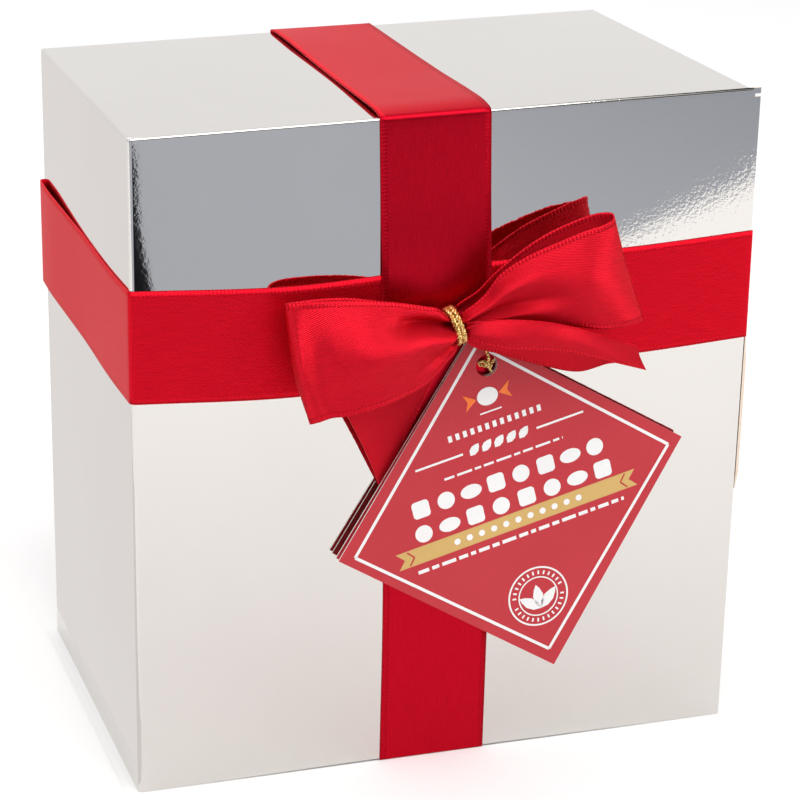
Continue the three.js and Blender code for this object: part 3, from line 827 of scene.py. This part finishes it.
def right_loop_lines():
    top = guide(
        [(0, 2.5, -1.0), (1.0, 2.6, -1.0), (1.8, 4.0, -0.2)],
        [[4.3, 6.0, 113.3], [8.2, 5.3, 116.6], [17.9, 5.0, 123.4], [26.7, 5.2, 127.2], [32.2, 6.0, 128.8],
         [34.5, 7.5, 128.9], [34.3, 8.7, 128.0], [32.2, 9.7, 127.3], [26.7, 10.4, 126.2],
         [20.8, 10.6, 124.3], [13.5, 10.5, 121.5], [7.4, 10.1, 117.5], [4.7, 9.7, 113.6]],
        [(2.0, 3.3, 3.0), (1.0, 2.3, 1.4), (0, 2.2, 1.3)])
    middle = guide(
        [(0, 0, -1.6), (1.0, 0, -1.8), (2.0, 0.2, -2.8)],
        [[10, 5.2, 110.8], [18, 5.6, 113.2], [28, 6.0, 115.6], [35.6, 7.4, 118.2], [37.6, 9.2, 117.5],
         [34.4, 11.9, 116.6], [26.6, 13.6, 115.2], [16.6, 12.8, 113.8], [8.5, 11.0, 110.9]],
        [(2.0, 1.2, 3.9), (1.0, 0.4, 2.1), (0, 0.4, 1.9)])
    bottom = guide(
        [(0, -1.6, -1.3), (1.0, -1.6, -1.3), (2.2, -1.2, -1.6)],
        [[11, 6.6, 107.0], [20, 7.4, 105.6], [30, 7.8, 104.8], [38.8, 8.6, 105.2], [41.8, 10.4, 105.0],
         [37.4, 12.2, 104.5], [31.5, 12.0, 104.2], [22.1, 11.0, 105.8], [11.3, 9.4, 107.0]],
        [(2.2, -0.6, 2.2), (1.0, -1.5, 0.9), (0, -1.5, 0.9)])
    return [top, middle, bottom]


def right_tail_lines():
    front = guide(
        [(0, -2.3, 0.8), (1.0, -2.4, 1.0)],
        [[2.1, 8.9, 103.4], [8.5, 11.5, 101.6], [19.5, 12.6, 100.5], [26.1, 12.6, 99.1], [33.1, 12.0, 96.7],
         [43.0, 10.5, 93.2]])
    front_middle = guide(
        [(0, -1.3, 1.5), (1.0, -1.4, 1.6)],
        [[2.2, 9.8, 105.3], [8.7, 12.6, 104.7], [18.2, 13.8, 104.1], [25.6, 13.6, 102.4],
         [32.1, 12.8, 99.8], [41.2, 11.0, 96.3]])
    crease = guide(
        [(0, -0.2, 1.9), (1.0, 0, 2.1), (2.2, 1.0, 3.6)],
        [[4.0, 10.6, 107.8], [9.7, 12.2, 108.1], [17.4, 13.2, 107.3], [25.6, 13.2, 105.1],
         [31.7, 12.4, 102.5], [39.9, 10.8, 99.2]])
    rear_middle = guide(
        [(0, -1.4, -0.4), (1.0, -1.5, -0.4)],
        [[2.9, 6.0, 103.2], [8.9, 8.8, 103.4], [18.0, 10.2, 102.0], [27.4, 9.8, 99.4], [32.1, 9.9, 98.6],
         [38.5, 9.6, 97.0]])
    rear = guide(
        [(0, -2.4, -0.9), (1.0, -2.5, -1.0)],
        [[3.6, 5.0, 100.6], [9.2, 5.4, 98.6], [19.1, 5.8, 95.2], [28.6, 6.4, 92.9], [34.8, 8.0, 94.7],
         [37.6, 8.6, 94.9]])
    return [front, front_middle, crease, rear_middle, rear]


def left_tail_lines():
    upper = guide(
        [(0, -1.2, -1.7), (-1.0, -1.3, -1.8)],
        [[-7.0, 4.0, 100.6], [-15.5, 4.0, 95.6], [-25.9, 6.2, 89.2]])
    middle = guide(
        [(0, -1.9, -1.6), (-1.0, -2.0, -1.7)],
        [[-6.2, 3.4, 96.6], [-12.6, 3.2, 89.4], [-21.3, 4.8, 80.4]])
    low_middle = guide(
        [(0, -2.2, -1.4), (-1.0, -2.3, -1.5)],
        [[-5.0, 2.8, 94.4], [-11.2, 1.9, 83.4], [-17.8, 3.0, 73.0]])
    lower = guide(
        [(0, -2.4, -1.2), (-1.0, -2.5, -1.3)],
        [[-4.2, 2.0, 92.0], [-9.4, 0.75, 79.6], [-15.6, 0.75, 67.9]])
    return [upper, middle, low_middle, lower]


LOOP_ROWS = 160
TAIL_ROWS = 70


def make_bow(satin):
    """One ribbon in two loops and two tails, pinched in the middle."""
    left_pleats = {"folds": 2.0, "start": 0.11, "most": 2.2, "fade": 14.0}
    right_pleats = {"folds": 1.5, "start": -0.08, "most": 2.0}
    right_tail_pleats = {"folds": 2.0, "fade": 5.0, "most": 0.4, "both_ends": False}
    left_tail_pleats = {"folds": 2.0, "fade": 14.0, "most": 0.6, "both_ends": False}
    parts = [
        ("left_loop", left_loop_lines(), LOOP_ROWS, left_pleats, LEFT_SWELLS),
        ("right_loop", right_loop_lines(), LOOP_ROWS, right_pleats, RIGHT_SWELLS),
        ("right_tail", right_tail_lines(), TAIL_ROWS, right_tail_pleats, []),
        ("left_tail", left_tail_lines(), TAIL_ROWS, left_tail_pleats, []),
    ]
    pieces = []
    total = 0.0
    for name, lines, along, pleats, swells in parts:
        piece, length = strip_mesh(name, bow_rows(lines, along, pleats, swells), satin, False, BOW_T)
        pieces.append(piece)
        total += length
    pick(*pieces)
    bpy.ops.object.join()
    bow = bpy.context.active_object
    bow.name = "satin_bow"
    bow.data.name = "satin_bow"
    finish_piece(bow, "satin_ribbon", "bow")
    return total


# Gold cord

PLY_R = 0.36
PLY_OFF = 0.32
TWIST = 3.1
THIN_PLY_R = 0.21
THIN_PLY_OFF = 0.18
THIN_TWIST = 1.6
TUBE_SIDES = 8
RING_POINTS = 120
RING_SHIFT = 0.55


def carried_frames(points, closed, first_side):
    """For each point of a route: the point, a side that turns no more than it has to, and the third axis."""
    frames = []
    side = None
    count = len(points)
    for i, p in enumerate(points):
        ahead = points[(i + 1) % count] if closed or i + 1 < count else p
        behind = points[i - 1] if closed or i else p
        along = (ahead - behind).normalized()
        if side is None:
            side = first_side(along)
        side = (side - along * side.dot(along)).normalized()
        frames.append((p, side.copy(), along.cross(side)))
    return frames


def swept_tube(made, points, radius, closed):
    """A round tube through the points, added to the mesh being made."""
    rings = []
    for p, side, other in carried_frames(points, closed, lambda along: along.orthogonal().normalized()):
        ring = []
        for k in range(TUBE_SIDES):
            a = 2 * math.pi * k / TUBE_SIDES
            ring.append(made.verts.new((p + radius * (math.cos(a) * side + math.sin(a) * other)) * MM))
        rings.append(ring)
    count = len(rings)
    for i in range(count if closed else count - 1):
        here, there = rings[i], rings[(i + 1) % count]
        shift = 0
        if closed and i == count - 1:
            shift = min(range(TUBE_SIDES), key=lambda s: (there[s].co - here[0].co).length)
        for k in range(TUBE_SIDES):
            after = (k + 1) % TUBE_SIDES
            made.faces.new((here[k], here[after], there[(k + 1 + shift) % TUBE_SIDES],
                            there[(k + shift) % TUBE_SIDES]))
    if not closed:
        made.faces.new(list(reversed(rings[0])))
        made.faces.new(rings[-1])


def level_side(along):
    side = Vector((0, 0, 1)).cross(along)
    return side if side.length >= 0.1 else Vector((0, 1, 0)).cross(along)


def twisted(points, closed, plies, offset, pitch):
    """Plies wound round the route, as lists of points."""
    far = running_lengths(points)
    whole = far[-1] + ((points[0] - points[-1]).length if closed else 0)
    turns = max(1, round(whole / pitch))
    frames = carried_frames(points, closed, level_side)
    lines = []
    for ply in range(plies):
        line = []
        for (p, side, other), s in zip(frames, far):
            angle = 2 * math.pi * (s / whole * turns + ply / plies)
            line.append(p + offset * (math.cos(angle) * side + math.sin(angle) * other))
        lines.append(line)
    return lines


def ring_route(shift):
    """One turn of the cord round the knot, shifted along the ribbon."""
    points = []
    for i in range(RING_POINTS):
        a = 2 * math.pi * i / RING_POINTS
        points.append(from_front(*knot_point(shift, RING_SEMI_V * math.cos(a), RING_SEMI_D * math.sin(a))))
    return points


def thin_strand(made, line, count):
    """A two-ply strand through places given as x, depth and z."""
    route = [from_front(*p) for p in even_points(line, count)]
    for ply in twisted(route, False, 2, THIN_PLY_OFF, THIN_TWIST):
        swept_tube(made, ply, THIN_PLY_R, False)


def make_cord(gold):
    """Two turns round the knot, a thin strand down to the tag and the small knot in its hole."""
    made = bmesh.new()
    for shift in (-RING_SHIFT, RING_SHIFT):
        for ply in twisted(ring_route(shift), True, 3, PLY_OFF, TWIST):
            swept_tube(made, ply, PLY_R, True)
    thin_strand(made, [knot_point(0.72, -RING_SEMI_V * 0.8, -RING_SEMI_D * 0.6), [3.4, 3.4, 101.4],
                       [5.7, 3.3, 100.2], [7.7, 3.5, 98.5], [8.2, 3.6, 96.8], [8.3, 2.6, 95.1]], 90)
    ends = [
        [[8.3, 2.7, 95.2], [7.4, 2.5, 95.7], [6.6, 1.8, 95.4], [6.9, 2.4, 94.9], [8.2, 2.9, 95.0],
         [9.4, 2.6, 95.4], [10.1, 2.2, 95.9]],
        [[7.7, 2.3, 95.9], [8.2, 2.9, 95.3], [8.6, 3.0, 94.6], [8.9, 2.7, 93.9], [9.5, 2.2, 93.2]],
        [[7.6, 2.2, 94.7], [8.3, 3.0, 94.9], [9.0, 3.0, 95.1], [9.2, 2.4, 94.5], [8.4, 2.2, 94.2]],
    ]
    for end in ends:
        thin_strand(made, end, 40)
    cord = made_piece(made, "gold_cord_twist", gold)
    cord.data.polygons.foreach_set("use_smooth", [True] * len(cord.data.polygons))
    return finish_piece(cord, "gold_cord", "gold_cord")


# Tag


CORNERS = (TAG_TOP, TAG_RIGHT, TAG_BOTTOM, TAG_LEFT)
FRONT_CORNERS = [from_front(x, front, z) for x, z, front, rear in CORNERS]
REAR_CORNERS = [from_front(x, rear + LEAF_T, z) for x, z, front, rear in CORNERS]
TAG_MIDDLE = sum(FRONT_CORNERS, Vector()) / 4
TAG_X = (FRONT_CORNERS[1] - FRONT_CORNERS[3]).normalized()
TAG_OUT = TAG_X.cross(FRONT_CORNERS[0] - FRONT_CORNERS[2]).normalized()
TAG_OUT = TAG_OUT if TAG_OUT.y < 0 else -TAG_OUT
TAG_UP = TAG_X.cross(TAG_OUT).normalized()
TAG_UP = TAG_UP if TAG_UP.z > 0 else -TAG_UP


def on_tag(x, y, lift=0.0):
    """A point on the front leaf: x along its level diagonal, y up the other one."""
    return TAG_MIDDLE + TAG_X * x + TAG_UP * y + TAG_OUT * lift


def make_leaf(name, corners, behind):
    """One leaf of card, its four corners in front and a copy of them behind."""
    pick()
    bpy.ops.mesh.primitive_cube_add(size=1)
    leaf = bpy.context.active_object
    leaf.name = name
    for vert in leaf.data.vertices:
        right, front, up = vert.co.x > 0, vert.co.y < 0, vert.co.z > 0
        index = {(False, True): 0, (True, True): 1, (True, False): 2, (False, False): 3}[(right, up)]
        vert.co = (corners[index] + (Vector() if front else behind)) * MM
    return leaf


FOLD_W = 0.5


def make_tag(card, white):
    """The folded card: two leaves that meet along the upper right edge, and the hole through both."""
    behind = -TAG_OUT * LEAF_T
    front = make_leaf("tag_card", FRONT_CORNERS, behind)
    rear = make_leaf("tag_rear", REAR_CORNERS, behind)
    down = (FRONT_CORNERS[3] - FRONT_CORNERS[0]).normalized() * FOLD_W
    fold_front = [FRONT_CORNERS[0], FRONT_CORNERS[1], FRONT_CORNERS[1] + down, FRONT_CORNERS[0] + down]
    depth = Vector((0, TAG_TOP[2] - TAG_TOP[3] - 0.02, 0))
    fold = make_leaf("tag_fold", [p + TAG_OUT * -0.01 for p in fold_front], depth)
    pick(front, rear, fold)
    bpy.ops.object.join()
    bpy.ops.object.mode_set(mode="EDIT")
    face_outwards()
    pick()
    hole = from_front(TAG_HOLE[0], 2.0, TAG_HOLE[1]) * MM
    bpy.ops.mesh.primitive_cylinder_add(vertices=64, radius=HOLE_R * MM, depth=12 * MM, location=hole,
                                        rotation=(math.pi / 2, 0, 0))
    punch = bpy.context.active_object
    apply_modifier(front, "BOOLEAN", object=punch, operation="DIFFERENCE", solver="EXACT", use_self=True)
    bpy.data.objects.remove(punch)
    fold_out = (FRONT_CORNERS[0] - FRONT_CORNERS[3]).normalized()

    def is_cut(face):
        return abs(face.normal.dot(TAG_OUT)) <= 0.9 and face.normal.dot(fold_out) <= 0.9

    split_faces(front.data, card, white, is_cut)
    return finish_piece(front, "printed_card", "tag")


def print_piece(name, outlines, material, lift=0.5 * INK_T):
    """Flat inked shapes on the front leaf, each an outline of tag points, given the ink's thickness."""
    made = bmesh.new()
    for outline in outlines:
        ring = [made.verts.new(on_tag(x, y, lift) * MM) for x, y in outline]
        face = made.faces.new(ring)
        face.normal_update()
        if face.normal.dot(TAG_OUT) < 0:
            face.normal_flip()
    bmesh.ops.triangulate(made, faces=made.faces[:])
    piece = made_piece(made, name, material)
    apply_modifier(piece, "SOLIDIFY", thickness=INK_T * MM, offset=1.0)
    return finish_piece(piece, "printed_card")


def bar(x0, y0, x1, y1, width):
    """A straight stroke between two tag points."""
    a, b = Vector((x0, y0)), Vector((x1, y1))
    side = (b - a).normalized().orthogonal() * width / 2
    return [tuple(p) for p in (a + side, b + side, b - side, a - side)]


def arc_band(cx, cy, radius, width, start, end, steps):
    """A curved stroke, from start to end in degrees."""
    angles = [math.radians(start + (end - start) * i / steps) for i in range(steps + 1)]
    outer, inner = radius + width / 2, radius - width / 2
    return ([(cx + outer * math.cos(a), cy + outer * math.sin(a)) for a in angles]
            + [(cx + inner * math.cos(a), cy + inner * math.sin(a)) for a in angles[::-1]])


def ring_halves(cx, cy, radius, width, steps=40):
    return [arc_band(cx, cy, radius, width, start, start + 180, steps) for start in (0, 180)]


def disc(cx, cy, rx, ry, steps=28):
    angles = [2 * math.pi * i / steps for i in range(steps)]
    return [(cx + rx * math.cos(a), cy + ry * math.sin(a)) for a in angles]


def rounded_block(cx, cy, w, h, r, steps=5):
    points = []
    for qx, qy, start in ((1, 1, 0), (-1, 1, 90), (-1, -1, 180), (1, -1, 270)):
        for i in range(steps + 1):
            a = math.radians(start + 90 * i / steps)
            points.append((cx + qx * (w / 2 - r) + r * math.cos(a), cy + qy * (h / 2 - r) + r * math.sin(a)))
    return points


BORDER_IN = 2.6
BORDER_W = 0.7
HALF_DIAGONAL = 42.3


def border_outlines():
    """The white line just inside the card's edge, as four strokes."""
    reach = HALF_DIAGONAL - BORDER_IN * math.sqrt(2)
    corners = [(reach, 0), (0, -reach), (-reach, 0), (0, reach)]
    return [bar(*a, *b, BORDER_W) for a, b in zip(corners, corners[1:] + corners[:1])]


def praline_row(y, kinds, pitch, size=4.1):
    """A row of plain sweets in outline, their kinds given as words in one line."""
    shapes = []
    kinds = kinds.split()
    start = -pitch * (len(kinds) - 1) / 2
    for i, kind in enumerate(kinds):
        x = start + i * pitch
        if kind == "round":
            shapes.append(disc(x, y, size / 2, size / 2))
        elif kind == "square":
            shapes.append(rounded_block(x, y, size, size, size * 0.22))
        else:
            shapes.append(disc(x, y, size * 0.62, size * 0.4))
    return shapes


def dash_row(y, half, height, lengths, gap):
    """A centred row of short bars of different lengths, repeated until the row is full."""
    bars = []
    x = -half
    i = 0
    while x < half:
        end = min(half, x + lengths[i % len(lengths)])
        bars.append(bar(x, y, end, y, height))
        x = end + gap
        i += 1
    return bars


def leaf_shape(x, y, length, width, turn):
    """A pointed leaf from its foot at x, y."""
    sides = [(0.0, 0.0), (0.25, 0.42), (0.55, 0.5), (0.82, 0.28), (1.0, 0.0), (0.82, -0.28), (0.55, -0.5),
             (0.25, -0.42)]
    c, s = math.cos(turn), math.sin(turn)
    return [(x + length * a * c - width * b * s, y + length * a * s + width * b * c) for a, b in sides]


SEAL = (0.4, -24.9)


def make_tag_print(red_card, white_ink, gold_ink, orange_ink):
    """A wrapped sweet, rows of dashes and of sweets, a banner, and a round mark with leaves."""
    white = border_outlines()
    white += [disc(-0.4, 26.2, 2.5, 2.1), bar(-3.0, 22.6, 2.2, 22.6, 0.35)]
    white += dash_row(19.4, 11.5, 1.5, [0.9], 0.9)
    white += [bar(-20.5, 14.9, -9.0, 14.9, 0.5), bar(9.0, 14.9, 20.5, 14.9, 0.5)]
    white += [leaf_shape(-7.4 + 3.0 * i, 13.9, 3.4, 2.0, 0.75) for i in range(5)]
    white += dash_row(10.6, 14.5, 0.55, [2.4, 3.6, 1.5], 0.7)
    white += praline_row(5.7, "square round oval square round square oval round", 6.1)
    white += praline_row(-0.2, "round oval square round square round oval square", 6.3)
    white += [disc(-15 + 3.0 * i, -4.9, 0.75, 0.75, 16) for i in range(11)]
    white += dash_row(-8.9, 25.5, 0.85, [2.6, 1.7, 3.4, 2.2, 1.2], 0.75)
    sx, sy = SEAL
    white += ring_halves(sx, sy, 7.1, 0.4)
    white += ring_halves(sx, sy, 4.7, 0.3)
    for i in range(28):
        if i % 14:
            a = 2 * math.pi * i / 28
            x, y = math.cos(a), math.sin(a)
            white.append(bar(sx + 5.4 * x, sy + 5.4 * y, sx + 6.3 * x, sy + 6.3 * y, 0.4))
    white += [leaf_shape(sx, sy - 3.1, 6.0, 2.5, math.pi / 2 + turn) for turn in (0.0, 0.85, -0.85)]
    print_piece("tag_white_print", white, white_ink, INK_T)
    orange = [
        [(-3.1, 26.2), (-6.0, 28.2), (-5.2, 26.2), (-6.0, 24.2)],
        [(2.3, 26.2), (5.2, 28.2), (4.4, 26.2), (5.2, 24.2)]]
    print_piece("tag_orange_print", orange, orange_ink)
    banner = [(-29.6, -2.9), (29.4, -2.9), (27.6, -4.9), (29.4, -6.9), (-29.6, -6.9), (-27.8, -4.9)]
    print_piece("tag_gold_banner", [banner], gold_ink, 0.2 * INK_T)
    chevrons = []
    for side in (-1, 1):
        for y in (-3.2, -6.6):
            chevrons.append(bar(26.9 * side, y, 25.5 * side, -4.9, 0.35))
    print_piece("tag_banner_chevrons", chevrons, red_card, INK_T)


# Studio

# Where the grey card's glow starts to shift to its right-hand colour, and where it has got there
SHIFT_STARTS = 0.16
SHIFT_ENDS = 0.38


def glow(name, colour, colour_right=None):
    """An even glow, or one that shifts to a second colour towards the right."""
    material = bpy.data.materials.new(name)
    material.use_nodes = True
    tree = material.node_tree
    tree.nodes.clear()
    light = node(tree, "Emission", {"Color": colour})
    if colour_right:
        x = node(tree, "SeparateXYZ", {"Vector": object_coords(tree)}).outputs["X"]
        share = ranged(tree, x, SHIFT_STARTS, SHIFT_ENDS)
        set_inputs(light, {"Color": mix_colour(tree, share, colour, colour_right)})
    node(tree, "OutputMaterial", {"Surface": light.outputs["Emission"]})
    return material


def flat_card(name, outline, height, *colours):
    """A glowing sheet just over the floor, for the board to mirror; the camera doesn't see it."""
    mesh = bpy.data.meshes.new(name)
    mesh.from_pydata([(x, y, height) for x, y in outline], [], [list(range(len(outline)))])
    mesh.materials.append(glow(name, *colours))
    card = bpy.data.objects.new(name, mesh)
    bpy.context.collection.objects.link(card)
    card.visible_camera = False
    card.visible_shadow = False
    card.visible_transmission = False


def softbox(name, place, size, watts):
    """A square lamp turned to the middle of the box."""
    lamp = bpy.data.objects.new(name, bpy.data.lights.new(name, "AREA"))
    lamp.data.size = size
    lamp.data.energy = watts
    lamp.location = place
    lamp.rotation_euler = (Vector((0, 0, 0.08)) - lamp.location).to_track_quat("-Z", "Y").to_euler()
    bpy.context.collection.objects.link(lamp)


def make_floor():
    pick()
    bpy.ops.mesh.primitive_plane_add(size=12)
    floor = bpy.context.active_object
    floor.name = "studio_floor"
    material, _, shader = new_material("studio_floor")
    set_inputs(shader, {"Base Color": (0.80, 0.80, 0.80, 1), "Roughness": 0.9})
    floor.data.materials.append(material)


def make_world():
    """White walls, brighter high up behind the box than in front of it."""
    world = bpy.data.worlds.new("studio")
    world.use_nodes = True
    tree = world.node_tree
    direction = node(tree, "TexCoord").outputs["Generated"]
    towards = node(tree, "VectorMath", {0: direction, 1: (0.1, 0.79, 0.6)}, operation="DOT_PRODUCT")
    level = ranged(tree, towards.outputs["Value"], -0.25, 0.5, 0.15, interpolation_type="SMOOTHSTEP")
    set_inputs(tree.nodes["Background"], {"Color": (1, 1, 1, 1), "Strength": level})
    bpy.context.scene.world = world


def make_studio():
    """The floor, the cards that the board mirrors, the walls and the lamps, in metres."""
    make_floor()
    grey = [(-3.0, -0.352), (0.015, -0.357), (0.19, -0.422), (0.293, -0.502), (0.5, -0.73), (0.5, -5.0),
            (-3.0, -5.0)]
    flat_card("grey_card", grey, 0.0004, (0.585, 0.62, 0.69, 1), (0.44, 0.48, 0.545, 1))
    dark = [(-0.03, -0.36), (0.010, -0.36), (0.0173, -0.409), (0.0276, -0.468), (0.0341, -0.504),
            (0.0513, -0.585), (0.0655, -0.66), (0.0655, -0.9), (-0.03, -0.9)]
    flat_card("dark_card", dark, 0.0008, (0.012, 0.012, 0.014, 1))
    beside = [(-0.26, -0.08), (-0.0735, -0.08), (-0.0735, 0.85), (-0.26, 0.85)]
    flat_card("side_card", beside, 0.0005, (0.915, 0.89, 0.88, 1))
    make_world()
    softbox("key_softbox", (-0.1, -0.85, 1.25), 1.3, 17)
    softbox("side_softbox", (1.1, -0.7, 0.75), 0.6, 6.0)
    softbox("left_softbox", (-1.0, -0.35, 0.45), 0.6, 1.8)
    softbox("back_softbox", (-0.1, 1.5, 1.15), 0.8, 6)
    bpy.context.scene.view_settings.view_transform = "Standard"


add_camera()
board = mirror_board()
cut_edge = board_edge()
weave = satin_weave_group()
# Relief of the twill and of the edges, metal, spread of the shine, and depth: how far the red is darkened as
# painted shade, most on the upright ribbon and least on the level one
upright_satin = satin_ribbon("upright_satin", weave, 0.28, 0.45, 0.96, 0.3, 0.73)
level_satin = satin_ribbon("level_satin", weave, 0.7, 0.45, 0.88, 0.4, 0.97)
bow_satin = satin_ribbon("bow_satin", weave, 1.0, 1.2, 0.76, 0.4, 0.88)
gold = gold_thread()
red_card = printed_card("red_card", (0.43, 0.026, 0.036, 1), (0.52, 0.040, 0.051, 1))
white_card = printed_card("white_card", (0.72, 0.70, 0.68, 1), (0.86, 0.85, 0.83, 1), 0.8)
white_ink = printed_card("white_ink", (0.74, 0.72, 0.71, 1), (0.86, 0.85, 0.84, 1))
gold_ink = printed_card("gold_ink", (0.54, 0.34, 0.11, 1), (0.64, 0.42, 0.15, 1), 0.4)
orange_ink = printed_card("orange_ink", (0.80, 0.16, 0.03, 1), (0.90, 0.22, 0.05, 1))
make_carton(board, cut_edge)
make_closing_tab(board, cut_edge)
lengths = {
    "lengthwise": make_lengthwise_ribbon(upright_satin),
    "crosswise": make_crosswise_ribbon(level_satin),
}
make_cord(gold)
lengths["bow"] = make_bow(bow_satin)
make_tag(red_card, white_card)
make_tag_print(red_card, white_ink, gold_ink, orange_ink)
make_studio()
print("ribbon lengths in mm:", {key: round(value, 1) for key, value in lengths.items()})
